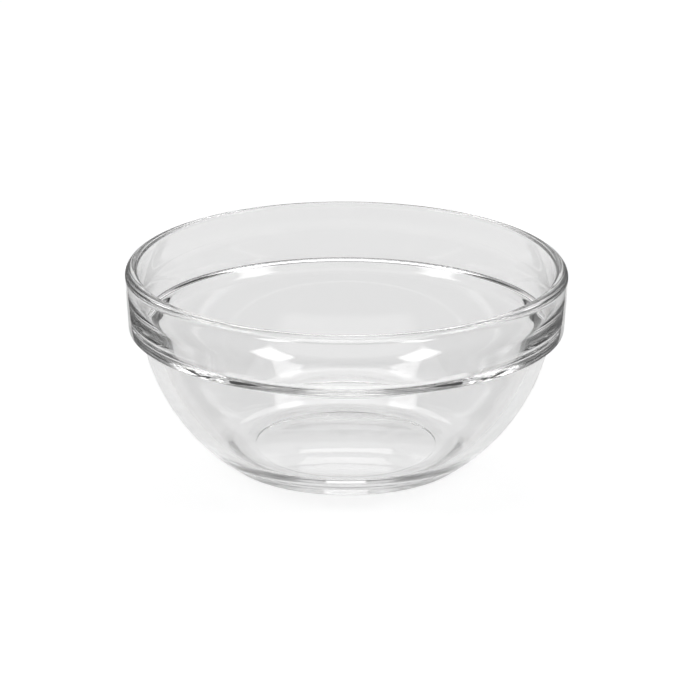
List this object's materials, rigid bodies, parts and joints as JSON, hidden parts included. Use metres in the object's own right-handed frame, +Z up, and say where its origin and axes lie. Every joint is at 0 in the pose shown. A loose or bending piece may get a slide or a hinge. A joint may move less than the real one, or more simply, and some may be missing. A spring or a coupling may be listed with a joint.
{
  "type": "stacking prep bowl",
  "caption": "Clear pressed-glass prep bowl: round body on a flat foot, upright rim band, and a ledge under the band that rests on the rim of the bowl below when stacked.",
  "frame": {"origin": "centre of the foot, on the plane the bowl stands on", "axes": "+Z up along the axis of revolution; X and Y are interchangeable because the bowl is round"},
  "size_m": [0.12, 0.12, 0.055],
  "materials": {
    "glass": "clear, fire-polished"
  },
  "bodies": {
    "root": {"bowl": "glass"}
  },
  "joints": []
}
